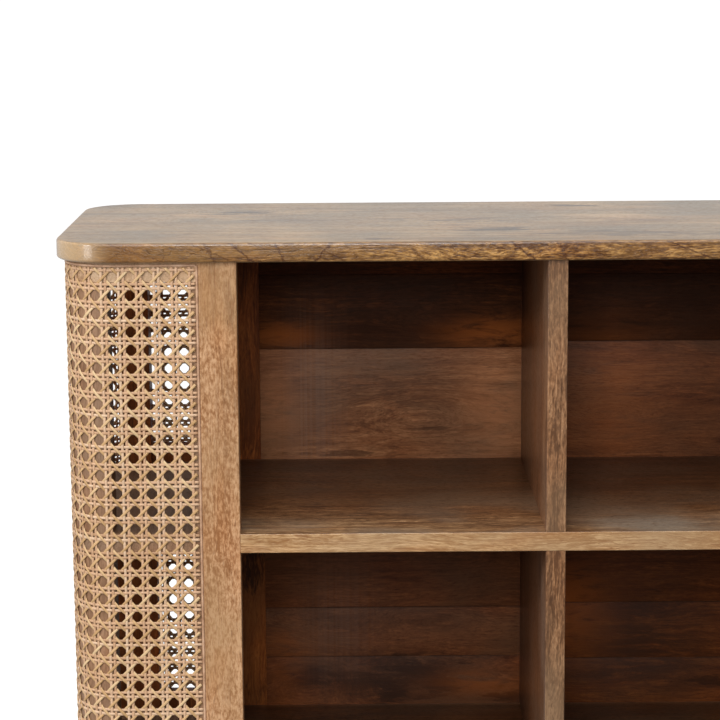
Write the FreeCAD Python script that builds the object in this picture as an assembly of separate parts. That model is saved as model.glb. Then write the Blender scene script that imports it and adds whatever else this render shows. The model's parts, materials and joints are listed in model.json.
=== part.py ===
"""Open shoe cabinet in solid wood, with a cane-wrapped end unit at each side.

Frame: +Z up, +X to the right, the open front faces -Y. The origin is on the floor, at the middle
of the cabinet's width and depth. Every length is in millimetres.

The carcass is a top board and a base board of one plan, two side panels, two shelves and a divider
in each row. Each end unit is a stack of end boards on two posts, wrapped from the front stile
round to the rear edge of the side panel in a sheet of cane webbing, held down by a spline.
"""
import FreeCAD
import Part
import os

V = FreeCAD.Vector
X_AXIS = V(1, 0, 0)
Y_AXIS = V(0, 1, 0)
Z_AXIS = V(0, 0, 1)

# --- driving dimensions -------------------------------------------------------------------------
board = 20.0              # gauge of every main board
slot_width = 310.0        # clear width of one slot
slot_height = 278.0       # clear height of one slot
slot_depth = 349.0        # from the front edges to the back boards
rows = 3
back_board = 10.0         # gauge of the back boards
stile_width = 38.0
end_width = 139.0         # from a stile to the outside of the cane
corner_radius = 53.0      # outside of the cane, in plan
top_overhang_side = 7.0
top_overhang_front = 6.0
leg_room = 116.0          # from the floor to the underside of the base board
edge_round = 3.0          # rounding on the top and base boards
arris = 1.0               # rounding on the other visible edges

cane_face = 0.5           # the cane lies this far inside the stile's front plane
frame_face = 2.5          # the end boards and posts lie this far inside it
shadow_gap = 2.0          # open groove above and below the cane
spline_width = 3.0

front_post = (48.0, 38.0)       # width from the outside of the cane, depth from the front plane
rear_post_sides = ((27.0, 60.0), (10.0, 64.0), (27.0, 60.0))  # inset of its two sides, lowest bay first
rear_post_depth = 38.0
cane_batten = (10.0, 17.5)      # width and depth of the battens behind the cane's upright edges
cane_rail = 20.0                # height of the rail at each bay's foot, behind the rear of the cane
rear_stile_show = (8.0, 11.0, 9.0)     # each row's rear stile, past the front stile's inner edge

# Joints between the back boards, above the bottom of each slot, top row first.
stave_joints_left = ((130.0, 216.0), (59.0, 119.0), (84.0, 176.0))
stave_joints_right = ((137.0, 215.0), (55.0, 123.0), (96.0, 170.0))

# --- derived places -----------------------------------------------------------------------------
inner_half = slot_width + board / 2                # centre line to a stile's inner edge
stile_half = inner_half + stile_width              # centre line to a stile's outer edge
panel_inner = stile_half - board                   # inner face of a side panel
body_half = stile_half + end_width
top_half = body_half + top_overhang_side
body_depth = slot_depth + back_board
front = top_overhang_front - (body_depth + top_overhang_front) / 2   # front plane of the carcass
back = front + body_depth
back_face = front + slot_depth                     # front faces of the back boards
pitch = slot_height + board

base_top = leg_room + board
slot_floor = [base_top + pitch * (rows - 1 - row) for row in range(rows)]   # top row first
carcass_top = slot_floor[0] + slot_height
shelf_bottom = [slot_floor[row] - board for row in range(rows - 1)]

# --- fasteners ----------------------------------------------------------------------------------
dowel = 8.0
thin_dowel = 6.0
dowel_grip = 20.0         # length of a dowel in a board's end
short_grip = 12.0         # length of a dowel or screw in a board's face
screw = 4.0
screw_head = 8.0
nail = 2.0
nail_head = 4.0
nail_length = 25.0
across = [front + share * slot_depth for share in (0.17, 0.52, 0.86)]   # dowels, front to back
between_legs = [front + share * slot_depth for share in (0.36, 0.52, 0.68)]
end_screw_inset = 65.0    # from a stile's outer edge to the row of end screws

# --- legs ---------------------------------------------------------------------------------------
leg_inset = 78.0          # leg's centre from the outside of the body, both ways
leg_top = 22.0            # radii of the turned leg
leg_neck = 17.0
leg_foot = 11.0
plate = 2.5
plate_half = 26.0
glide = 4.0
glide_radius = 10.0
bolt = 8.0
bolt_in_leg = 34.0
bolt_in_base = 10.0
plate_screw_offset = 19.0
plate_screw_length = 15.0


def block(x0, x1, y0, y1, z0, z1):
    """A box from its two corners."""
    return Part.makeBox(x1 - x0, y1 - y0, z1 - z0, V(x0, y0, z0))


def pin(diameter, length, start, axis):
    """A round pin that starts at a point and runs along an axis."""
    return Part.makeCylinder(diameter / 2, length, start, axis)


def group(solids):
    return Part.makeCompound(solids)


def union(solids):
    return solids[0].multiFuse(solids[1:]).removeSplitter()


def to_right(shape):
    """The mirror image of a left-hand piece."""
    return shape.mirror(V(0, 0, 0), X_AXIS)


def ease(shape, radius, wanted):
    """Rounds the edges that a test picks."""
    return shape.makeFillet(radius, [edge for edge in shape.Edges if wanted(edge)])


def rounded_slab(half_width, y0, y1, radius, z0, z1):
    """A board with round corners in plan."""
    corners = ((half_width - radius, y0 + radius, -90), (half_width - radius, y1 - radius, 0),
               (-half_width + radius, y1 - radius, 90), (-half_width + radius, y0 + radius, 180))
    arcs = [Part.makeCircle(radius, V(x, y, z0), Z_AXIS, turn, turn + 90) for x, y, turn in corners]
    edges = []
    for number, arc in enumerate(arcs):
        following = arcs[(number + 1) % len(arcs)]
        edges += [arc, Part.makeLine(arc.Vertexes[-1].Point, following.Vertexes[0].Point)]
    return Part.Face(Part.Wire(edges)).extrude(V(0, 0, z1 - z0))


def body_slab(inset, z0, z1):
    """The plan of the cane-wrapped body, moved in by an inset."""
    return rounded_slab(body_half - inset, front + inset, back - inset, corner_radius - inset, z0, z1)


def end_slab(inset, z0, z1, x_limit=-stile_half):
    """The left end of the body's plan, up to a limit in X."""
    return body_slab(inset, z0, z1).common(block(-body_half, x_limit, front, back, z0, z1))


# --- boards -------------------------------------------------------------------------------------
def outer_board(z0):
    """The top board and the base board share one plan, rounded on both faces."""
    slab = rounded_slab(top_half, front - top_overhang_front, back,
                        corner_radius + top_overhang_front, z0, z0 + board)

    def on_a_face(edge):
        return edge.BoundBox.ZLength < 0.01

    return ease(slab, edge_round, on_a_face)


def shelf(z0):
    """A shelf fills the width between the stiles in front, and between the side panels behind."""
    lip = block(-inner_half, inner_half, front, front + board, z0, z0 + board)
    body = block(-panel_inner, panel_inner, front + board, back_face, z0, z0 + board)

    def front_arris(edge):
        return abs(edge.CenterOfMass.y - front) < 0.01 and edge.BoundBox.XLength > slot_width

    return ease(union([lip, body]), arris, front_arris)


def divider(row):
    z0 = slot_floor[row]
    post = block(-board / 2, board / 2, front, back_face, z0, z0 + slot_height)

    def front_arris(edge):
        return abs(edge.CenterOfMass.y - front) < 0.01 and edge.BoundBox.ZLength > board

    return ease(post, arris, front_arris)


def side_panel():
    return block(-stile_half, -panel_inner, front + board, back, base_top, carcass_top)


def front_stile():
    stile = block(-stile_half, -inner_half, front, front + board, base_top, carcass_top)

    def front_arris(edge):
        return abs(edge.CenterOfMass.y - front) < 0.01 and edge.BoundBox.ZLength > board

    return ease(stile, arris, front_arris)


# --- back ---------------------------------------------------------------------------------------
def back_span(row):
    """Bottom and top of a row's back boards, which meet half-way up each shelf."""
    low = base_top if row == rows - 1 else slot_floor[row] - board / 2
    high = carcass_top if row == 0 else slot_floor[row] + slot_height + board / 2
    return low, high


def rear_stile(row):
    low, high = back_span(row)
    return block(-panel_inner, -inner_half + rear_stile_show[row], back_face, back, low, high)


def back_panel(row, joints):
    """The boards of one left-hand back panel, edge to edge from the bottom up."""
    low, high = back_span(row)
    levels = [low] + [slot_floor[row] + joint for joint in joints] + [high]
    x0 = -inner_half + rear_stile_show[row]
    return group([block(x0, 0, back_face, back, z0, z1) for z0, z1 in zip(levels, levels[1:])])


# --- end units ----------------------------------------------------------------------------------
end_levels = {"top": carcass_top - board, "shelf_1": shelf_bottom[0],
              "shelf_2": shelf_bottom[1], "base": base_top}


def end_bays():
    """Bottom and top of each open bay between two end boards."""
    floors = sorted(end_levels.values())
    return [(low + board, high) for low, high in zip(floors, floors[1:])]


def bay_post(bay, x0, x1, y0, y1):
    """A post from the bottom to the top of one bay, cut to the round corner that it stands in."""
    return end_slab(frame_face, *bay).common(block(x0, x1, y0, y1, *bay))


def corner_post(x0, x1, y0, y1):
    return group([bay_post(bay, x0, x1, y0, y1) for bay in end_bays()])


def left_front_post():
    width, depth = front_post
    return corner_post(-body_half, -body_half + width, front, front + depth)


def left_rear_post():
    """One post a bay; the middle one is wider than the others."""
    return group([bay_post(bay, -body_half + outer, -body_half + inner, back - rear_post_depth, back)
                  for bay, (outer, inner) in zip(end_bays(), rear_post_sides)])


def left_rear_rails():
    """A rail at the foot of each bay, from the rear post to the rear batten."""
    width, depth = cane_batten
    y0, y1 = back - frame_face - depth, back - frame_face
    return [block(-body_half + inner, -stile_half - width, y0, y1, low, low + cane_rail)
            for (low, _), (_, inner) in zip(end_bays(), rear_post_sides)]


def left_battens():
    """The strips that the cane's front and rear edges are pressed against, next to the side panel."""
    width, depth = cane_batten
    x0, x1 = -stile_half - width, -stile_half
    rear = corner_post(x0, x1, back - frame_face - depth, back)
    return {"front": corner_post(x0, x1, front, front + frame_face + depth),
            "rear": group(rear.Solids + left_rear_rails())}


def cane_sheet():
    """The webbing as it wraps the end: front, round corner, side, round corner, rear."""
    low = base_top + shadow_gap + spline_width
    high = carcass_top - shadow_gap - spline_width
    x_edge = -stile_half - spline_width
    sheet = end_slab(cane_face, low, high, x_edge).cut(end_slab(frame_face, low, high, x_edge))
    x_bend = -body_half + corner_radius
    y_front = front + corner_radius
    y_rear = back - corner_radius
    bends = (block(x_bend, x_edge, front, y_front, low, high),
             block(-body_half, x_bend, front, y_front, low, high),
             block(-body_half, x_bend, y_front, y_rear, low, high),
             block(-body_half, x_bend, y_rear, back, low, high),
             block(x_bend, x_edge, y_rear, back, low, high))
    return group([solid for bend in bends for solid in sheet.common(bend).Solids])


def cane_spline():
    """One loop round the edge of the webbing."""
    low = base_top + shadow_gap
    high = carcass_top - shadow_gap
    x_edge = -stile_half - spline_width
    band = end_slab(0, low, high).cut(end_slab(frame_face, low, high))
    window = end_slab(0, low + spline_width, high - spline_width, x_edge)
    return band.cut(window)


# --- legs and their fittings --------------------------------------------------------------------
def turned_leg(x, y):
    """A tapered leg with a shoulder under the plate, turned about its own axis."""
    top = leg_room - plate
    shoulder = top - 12
    profile = [V(x, y, glide), V(x + leg_foot - 1.5, y, glide), V(x + leg_foot, y, glide + 1.5),
               V(x + leg_neck, y, shoulder - 6), V(x + leg_top, y, shoulder),
               V(x + leg_top, y, top - 2), V(x + leg_top - 2, y, top), V(x, y, top)]
    section = Part.Face(Part.makePolygon(profile + profile[:1]))
    return section.revolve(V(x, y, 0), Z_AXIS, 360)


def leg_plate(x, y):
    z0 = leg_room - plate
    return block(x - plate_half, x + plate_half, y - plate_half, y + plate_half, z0, leg_room)


def hanger_bolt(x, y):
    start = leg_room - plate - bolt_in_leg
    return pin(bolt, bolt_in_leg + plate + bolt_in_base, V(x, y, start), Z_AXIS)


def wood_screw(tip, length, axis):
    """A countersunk screw; it is given by its head's face, and drives along the axis."""
    shank = pin(screw, length, tip, axis)
    sink = (screw_head - screw) / 2
    return shank.fuse(Part.makeCone(screw_head / 2, screw / 2, sink, tip, axis)).removeSplitter()


def plate_screws(x, y):
    """Four screws up through the corners of one leg plate."""
    reach = plate_screw_offset
    return [wood_screw(V(x + dx, y + dy, leg_room - plate), plate_screw_length, Z_AXIS)
            for dx in (-reach, reach) for dy in (-reach, reach)]


def foot_glide(x, y):
    disc = Part.makeCylinder(glide_radius, glide, V(x, y, 0), Z_AXIS)

    def lower_rim(edge):
        return edge.BoundBox.ZMax < 0.01

    return ease(disc, 1.0, lower_rim)


def leg_places():
    x = body_half - leg_inset
    return {"front_left": (-x, front + leg_inset), "front_right": (x, front + leg_inset),
            "rear_left": (-x, back - leg_inset), "rear_right": (x, back - leg_inset)}


# --- joinery ------------------------------------------------------------------------------------
def shelf_dowels():
    """Dowels through each side panel, from a shelf into the end board beside it."""
    start = -stile_half - dowel_grip
    length = board + 2 * dowel_grip
    return [pin(dowel, length, V(start, y, z0 + board / 2), X_AXIS)
            for z0 in shelf_bottom for y in across]


def end_dowels():
    """Dowels from the top and base end boards into the side panel."""
    start = -stile_half - dowel_grip
    return [pin(dowel, short_grip + dowel_grip, V(start, y, end_levels[level] + board / 2), X_AXIS)
            for level in ("top", "base") for y in across]


def upright_dowels(x, y_places, ends):
    """Dowels along Z where a post or panel meets boards, from a list of (start, length)."""
    return [pin(dowel, length, V(x, y, start), Z_AXIS) for start, length in ends for y in y_places]


def divider_dowels():
    end = short_grip + dowel_grip
    through = board + 2 * dowel_grip
    ends = [(base_top - short_grip, end), (carcass_top - dowel_grip, end)]
    ends += [(z0 - dowel_grip, through) for z0 in shelf_bottom]
    return upright_dowels(0, (across[0], across[2]), ends)


def panel_dowels():
    end = short_grip + dowel_grip
    ends = [(base_top - short_grip, end), (carcass_top - dowel_grip, end)]
    places = [(y_here + y_next) / 2 for y_here, y_next in zip(across, across[1:])]
    return upright_dowels(-stile_half + board / 2, places, ends)


def post_dowels():
    """Dowels between the posts and the end boards above and below them."""
    through = board + 2 * dowel_grip
    end = short_grip + dowel_grip
    ends = [(base_top + board - short_grip, end), (carcass_top - board - dowel_grip, end)]
    ends += [(z0 - dowel_grip, through) for z0 in shelf_bottom]
    front_place = (-body_half + 30, front + 24)
    rear_place = (-body_half + sum(rear_post_sides[0]) / 2, back - rear_post_depth / 2)
    return [dowel_ for x, y in (front_place, rear_place) for dowel_ in upright_dowels(x, [y], ends)]


def stile_dowels():
    """Thin dowels from the back of a stile into the front edge of its side panel."""
    length = short_grip + 18
    start = front + board - short_grip
    count = 5
    step = (carcass_top - base_top) / count
    return [pin(thin_dowel, length, V(-stile_half + board / 2, start, base_top + step * (n + 0.5)), Y_AXIS)
            for n in range(count)]


def end_screws():
    """Screws through the outermost end boards into the top, and through the base into them."""
    x = -stile_half - end_screw_inset
    length = board + short_grip
    floors = (carcass_top - board, leg_room)
    return [wood_screw(V(x, y, z), length, Z_AXIS) for z in floors for y in between_legs]


def back_nails():
    """Nails that hold the left-hand back boards to the shelves and the dividers."""
    spots = []
    for z0 in shelf_bottom:
        for z in (z0 + board / 4, z0 + 3 * board / 4):
            spots += [(-inner_half - 8, z)] + [(-slot_width * share, z) for share in (0.12, 0.5, 0.88)]
    for row in range(rows):
        low, high = back_span(row)
        spots += [(-board / 4, low + (high - low) * share) for share in (0.12, 0.5, 0.9)]
    nails = []
    for x, z in spots:
        shank = pin(nail, nail_length, V(x, back, z), -Y_AXIS)
        head = pin(nail_head, 0.8, V(x, back, z), -Y_AXIS)
        nails.append(shank.fuse(head).removeSplitter())
    return nails


# --- assembly -----------------------------------------------------------------------------------
def both(left_solids):
    """Left-hand solids with their mirror images."""
    return left_solids + [to_right(solid) for solid in left_solids]


def fastener_groups():
    groups = {"shelf_dowels": both(shelf_dowels()), "end_dowels": both(end_dowels()),
              "divider_dowels": divider_dowels(), "panel_dowels": both(panel_dowels()),
              "post_dowels": both(post_dowels()), "stile_dowels": both(stile_dowels()),
              "end_screws": both(end_screws()), "back_nails": both(back_nails())}
    places = leg_places().values()
    groups["hanger_bolts"] = [hanger_bolt(x, y) for x, y in places]
    groups["plate_screws"] = [solid for x, y in places for solid in plate_screws(x, y)]
    return groups


def wooden_pieces():
    pieces = {"top_board": outer_board(carcass_top), "base_board": outer_board(leg_room)}
    for number, z0 in enumerate(shelf_bottom, 1):
        pieces["shelf_%d" % number] = shelf(z0)
    for row in range(rows):
        pieces["divider_%d" % (row + 1)] = divider(row)
    paired = {"side_panel": side_panel(), "front_stile": front_stile(),
              "front_post": left_front_post(), "rear_post": left_rear_post()}
    for name, shape in left_battens().items():
        paired["cane_batten_" + name] = shape
    for row in range(rows):
        paired["rear_stile_%d" % (row + 1)] = rear_stile(row)
    for level, z0 in end_levels.items():
        paired["end_board_" + level] = end_slab(frame_face, z0, z0 + board)
    for name, shape in paired.items():
        pieces[name + "_left"] = shape
        pieces[name + "_right"] = to_right(shape)
    for row in range(rows):
        pieces["back_panel_%d_left" % (row + 1)] = back_panel(row, stave_joints_left[row])
        pieces["back_panel_%d_right" % (row + 1)] = to_right(back_panel(row, stave_joints_right[row]))
    return pieces


def leg_pieces():
    places = leg_places()
    pieces = {"leg_" + name: turned_leg(x, y) for name, (x, y) in places.items()}
    pieces["leg_plates"] = group([leg_plate(x, y) for x, y in places.values()])
    pieces["glides"] = group([foot_glide(x, y) for x, y in places.values()])
    return pieces


def bored(shape, pins):
    """A piece with a hole for every pin that enters it."""
    entering = [solid for solid in pins if solid.BoundBox.intersect(shape.BoundBox)]
    if not entering:
        return shape
    return group([solid for part in shape.Solids for solid in part.cut(entering).Solids])


def build():
    fasteners = fastener_groups()
    pins = [solid for solids in fasteners.values() for solid in solids]
    nodes = {name: bored(shape, pins) for name, shape in {**wooden_pieces(), **leg_pieces()}.items()}
    for side, mirrored in (("left", False), ("right", True)):
        for name, shape in (("cane_panel", cane_sheet()), ("cane_spline", cane_spline())):
            nodes["%s_%s" % (name, side)] = to_right(shape) if mirrored else shape
    nodes.update({name: group(solids) for name, solids in fasteners.items()})
    return nodes


def main():
    os.makedirs("parts", exist_ok=True)
    for name, shape in build().items():
        if not shape.isValid():
            raise RuntimeError(name + " is not a valid solid")
        shape.exportStep("parts/%s.step" % name)
        print("%-26s %3d solids %12.0f mm3" % (name, len(shape.Solids), shape.Volume))


main()
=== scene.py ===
"""Looks for the open shoe cabinet: woven cane ends, figured hardwood boards, soft studio light.

Lengths are in metres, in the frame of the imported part: +Z up, the open front faces -Y, and the origin
is on the floor under the cabinet's middle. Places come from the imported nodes' boxes.
"""

import json
import math
import random
from typing import NamedTuple

import bmesh
import bpy
import numpy as np
from mathutils import Euler, Matrix, Vector


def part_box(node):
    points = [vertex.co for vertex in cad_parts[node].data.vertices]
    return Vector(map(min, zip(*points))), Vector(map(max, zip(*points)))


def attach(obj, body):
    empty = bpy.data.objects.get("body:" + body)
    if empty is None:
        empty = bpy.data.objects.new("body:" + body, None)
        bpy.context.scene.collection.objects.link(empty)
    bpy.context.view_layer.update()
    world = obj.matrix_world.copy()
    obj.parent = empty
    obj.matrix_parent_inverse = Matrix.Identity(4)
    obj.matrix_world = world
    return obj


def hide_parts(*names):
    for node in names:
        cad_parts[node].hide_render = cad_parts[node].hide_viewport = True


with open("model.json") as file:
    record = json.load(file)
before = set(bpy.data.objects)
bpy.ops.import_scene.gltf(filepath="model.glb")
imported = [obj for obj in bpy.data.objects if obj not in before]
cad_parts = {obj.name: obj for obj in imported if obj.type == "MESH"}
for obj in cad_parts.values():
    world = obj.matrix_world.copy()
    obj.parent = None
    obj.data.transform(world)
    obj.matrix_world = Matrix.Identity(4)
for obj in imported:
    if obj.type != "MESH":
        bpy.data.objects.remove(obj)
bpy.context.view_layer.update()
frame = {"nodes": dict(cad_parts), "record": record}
MM = 0.001
SIDES = ("left", "right")
ROWS = (1, 2, 3)

# Rounding of the top and base boards' edges and corners, and of the back boards' arrises.
EDGE_ROUND = 3 * MM
TOP_CORNER = 59 * MM
ARRIS = 0.5 * MM

# Cane webbing, laid over the outside of the CAD's plain sheet.
CANE_CORNER = 52.5 * MM  # the bend's outer radius
WEAVE_INSET = 1.0 * MM  # from the sheet's outer face to the middle of the weave
CANE_PITCH_ROUND = 17.66 * MM
CANE_PITCH_UP = 18.4 * MM
PAIR_HALF = 2.25 * MM  # half the spacing of a pair of strands
STRAND_HALF = 1.5 * MM  # half a strand's width
STRAND_THICK = 0.65 * MM
SWAY = 0.12 * MM  # how far a strand wanders to each side
KINK_REACH = 0.3  # how far from a crossing, in cells, a doubled strand starts to rise
SLANT_SWING = 1.45  # over 1, so that a slanting strand lies flat over and under the pairs
FIRST_COLUMN = 3.5 * MM  # from the webbing's front edge to its first pair of uprights
TOP_COURSE = 60  # the number of the highest whole level pair
TOP_COURSE_DROP = 19.1 * MM  # from the webbing's top edge down to it
LOWER_COURSES = 36  # level pairs with a lower number than this are in the lower piece

# The reed round the webbing's edge and the groove that it sits in, whose dark strip is painted shade: half
# widths and half thickness, then how far below the weave's middle the reed's middle and the groove's two
# faces lie.
RIM_INSET = 1.5 * MM  # from the spline's outer edge to its middle
RIM_CORNER = 3 * MM
REED_HALF = 1.3 * MM
GROOVE_HALF = 1.9 * MM
REED_RISE = 1.1 * MM
REED_SINK = 0.2 * MM
GROOVE_FACE = 1.1 * MM
GROOVE_FLOOR = 1.35 * MM


# --- colour and node helpers ---
def srgb(red, green, blue):
    """A linear RGBA colour from 0-255 display values."""
    def channel(value):
        value /= 255
        return value / 12.92 if value <= 0.04045 else ((value + 0.055) / 1.055) ** 2.4
    return (channel(red), channel(green), channel(blue), 1)


class Nodes:
    """Builds the node tree of a material, or of the world, with short calls."""

    def __init__(self, name, world=False):
        self.block = (bpy.data.worlds if world else bpy.data.materials).new(name)
        self.block.use_nodes = True
        self.tree = self.block.node_tree
        self.shader = self.tree.nodes["Background" if world else "Principled BSDF"]

    def add(self, kind, inputs=None, **settings):
        node = self.tree.nodes.new("ShaderNode" + kind)
        for key, value in settings.items():
            setattr(node, key, value)
        self.fill(node, inputs or {})
        return node

    def fill(self, node, inputs):
        """Gives each named input its value, or a link where the value comes from another node."""
        for key, value in inputs.items():
            if isinstance(value, bpy.types.NodeSocket):
                self.tree.links.new(value, node.inputs[key])
            else:
                node.inputs[key].default_value = value

    def math(self, operation, first, second=0.0, third=0.0, clamp=False):
        node = self.add("Math", {0: first, 1: second, 2: third}, operation=operation, use_clamp=clamp)
        return node.outputs[0]

    def times(self, first, second, clamp=False):
        return self.math("MULTIPLY", first, second, clamp=clamp)

    def times_plus(self, first, second, third, clamp=False):
        return self.math("MULTIPLY_ADD", first, second, third, clamp)

    def plus(self, first, second):
        return self.math("ADD", first, second)

    def minus(self, first, second, clamp=False):
        return self.math("SUBTRACT", first, second, clamp=clamp)

    def most(self, first, *others):
        """The greatest of several values."""
        for other in others:
            first = self.math("MAXIMUM", first, other)
        return first

    def bell(self, square, steepness):
        """1 at the middle of a soft patch, falling away with the square of the distance from it."""
        return self.math("EXPONENT", self.times(square, -steepness))

    def place(self):
        return self.add("TexCoord").outputs["Object"]

    def part(self, vector, axis):
        return self.add("SeparateXYZ", {0: vector}).outputs[axis]

    def vector(self, operation, first, second=(0, 0, 0)):
        return self.add("VectorMath", {0: first, 1: second}, operation=operation).outputs[0]

    def mix(self, factor, first, second, blend="MIX"):
        node = self.add("Mix", {"Factor": factor, 6: first, 7: second}, data_type="RGBA", blend_type=blend)
        return node.outputs[2]

    def ramp(self, factor, stops):
        """Values or colours at places along a factor."""
        node = self.add("ValToRGB", {"Fac": factor})
        elements = node.color_ramp.elements
        while len(elements) < len(stops):
            elements.new(0.5)
        for element, (place, value) in zip(elements, stops):
            element.position = place
            element.color = value if isinstance(value, tuple) else (value, value, value, 1)
        return node.outputs["Color"]

    def noise(self, vector, scale, detail=2.0, roughness=0.5, distortion=0.0):
        """Noise of one scale, or of a scale for each axis."""
        if isinstance(scale, tuple):
            vector, scale = self.vector("MULTIPLY", vector, scale), 1.0
        inputs = {"Vector": vector, "Scale": scale, "Detail": detail, "Roughness": roughness,
                  "Distortion": distortion}
        return self.add("TexNoise", inputs).outputs["Fac"]

    def palette(self, look, edge=None):
        """A wood's five colours; where an edge look is given, faces that look forward take that one."""
        colours = [srgb(*colour) for colour in WOODS[look]]
        if edge is None:
            return colours
        front = self.forward()
        return [self.mix(front, face, srgb(*colour)) for face, colour in zip(colours, WOODS[edge])]

    def forward(self):
        """1 on faces that look forward, 0 on the rest."""
        normal = self.add("NewGeometry").outputs["Normal"]
        turned = self.times(self.part(normal, "Y"), -1.0)
        return self.times_plus(turned, 4.0, -2.0, clamp=True)

    def shade(self, factor, stops):
        """Three colours at three places along a factor, each of which may come from a node."""
        (low, dark), (centre, middle), (high, light) = stops
        lower = self.math("DIVIDE", self.minus(factor, low), centre - low, clamp=True)
        upper = self.math("DIVIDE", self.minus(factor, centre), high - centre, clamp=True)
        return self.mix(upper, self.mix(lower, dark, middle), light)

    def bump(self, height, strength, distance):
        return self.add("Bump", {"Height": height, "Strength": strength, "Distance": distance}).outputs[0]

    def cover(self, colour, rough, normal):
        """Joins the last nodes to the shader and gives the material."""
        self.fill(self.shader, {"Base Color": colour, "Roughness": rough, "Normal": normal})
        return self.block


# --- wood ---
GRAIN_TURN = {"X": (0, 0, 0), "Y": (0, 0, math.pi / 2), "Z": (0, math.pi / 2, 0)}

WOODS = {
    # light, middle and dark wood, the greyer tone of its patches, then its lines and knots
    "top": ((202, 169, 128), (172, 140, 102), (134, 105, 75), (128, 114, 96), (46, 38, 36)),
    "top_edge": ((208, 158, 94), (151, 107, 56), (90, 54, 22), (146, 107, 60), (46, 23, 8)),
    "stile": ((212, 168, 128), (188, 141, 101), (150, 102, 64), (168, 132, 92), (96, 56, 32)),
    "shelf": ((164, 114, 72), (124, 80, 46), (78, 46, 24), (118, 94, 72), (34, 18, 9)),
    "shelf_edge": ((220, 182, 138), (193, 154, 109), (158, 115, 72), (184, 152, 114), (122, 73, 39)),
    "divider": ((160, 110, 74), (128, 82, 52), (92, 56, 33), (128, 96, 74), (44, 24, 13)),
    "divider_edge": ((178, 134, 96), (144, 102, 68), (100, 66, 40), (138, 110, 82), (58, 34, 20)),
    "back": ((214, 150, 102), (170, 110, 70), (118, 70, 42), (138, 104, 78), (52, 26, 14)),
    "back_dark": ((150, 84, 42), (92, 52, 28), (64, 34, 18), (78, 52, 38), (30, 14, 7)),
    "back_row": ((176, 108, 64), (134, 77, 44), (84, 43, 22), (116, 82, 58), (30, 14, 6)),
    "back_red": ((160, 92, 44), (118, 62, 27), (76, 36, 14), (96, 58, 32), (26, 11, 4)),
    "back_rear": ((176, 124, 84), (140, 94, 60), (102, 64, 38), (122, 90, 66), (52, 28, 14)),
    "rear_stile": ((214, 130, 62), (178, 98, 40), (116, 58, 20), (126, 76, 38), (30, 13, 5)),
    "frame": ((180, 142, 112), (152, 116, 88), (114, 82, 58), (140, 114, 92), (70, 44, 28)),
    "frame_pale": ((224, 192, 156), (204, 168, 132), (172, 134, 100), (190, 164, 136), (110, 76, 50)),
    "frame_dark": ((186, 106, 50), (150, 80, 34), (100, 50, 20), (110, 66, 36), (36, 16, 6)),
}


class Figure(NamedTuple):
    """How lively a board's grain is."""
    wild: float = 0.25  # share of places with a knot
    bend: float = 1.0  # how far the lines wander
    contrast: float = 1.0  # between the growth bands
    mottle: float = 0.3  # short light and dark dashes
    dash: float = 80  # how closely the dashes follow one another along the grain
    veins: float = 0.6  # thin dark lines
    cracks: float = 0.0  # a net of fine splits
    vary: float = 0.2  # difference between one board and the next
    edge_lift: float = 1.4  # how much livelier a front edge is than the faces


class Finish(NamedTuple):
    """How a board shines."""
    gloss: float = 0.36
    coat: float = 0.0
    specular: float = 0.2
    coat_rough: float = 0.24


SATIN = Finish(0.34, 0.3, 0.4)
OILED = Finish(0.42, 0.0, 0.2)


def knot(node, across, up, length, height, lift, heart, level=False):
    """A knot on a node's front face, or level on its top, placed by fractions of the face; sizes in mm."""
    shares = (across, up, 1) if level else (across, 0, up)
    centre = [start + share * (end - start) for start, end, share in zip(*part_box(node), shares)]
    return centre, length * MM, height * MM, lift, heart


# How often each pattern repeats in a metre: along the grain, and across it both ways.
BANDS = (1.3, 85, 85)
LINES = (1.5, 75, 75)
LINE_PLACES = (6, 26, 26)
HAIRS = (4, 210, 210)
HAIR_PLACES = (9, 60, 60)
FIBRES = (24, 460, 460)
FLECKS = (60, 420, 420)
PORES = (150, 850, 850)
CRACKS = (30, 60, 60)
CRACK_PLACES = (14, 24, 24)
KNOTS = (4.4, 15, 15)
PATCHES = (5, 15, 15)
CLOUDS = (7, 11, 11)
WARMTH = (11, 30, 30)
SHINE = (20, 4, 4)
RAGGED = (18, 75, 75)
SLOW_BENDS = (2.4, 11, 11)
RIPPLES = (16, 70, 70)
DASHES_ACROSS = 360


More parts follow.
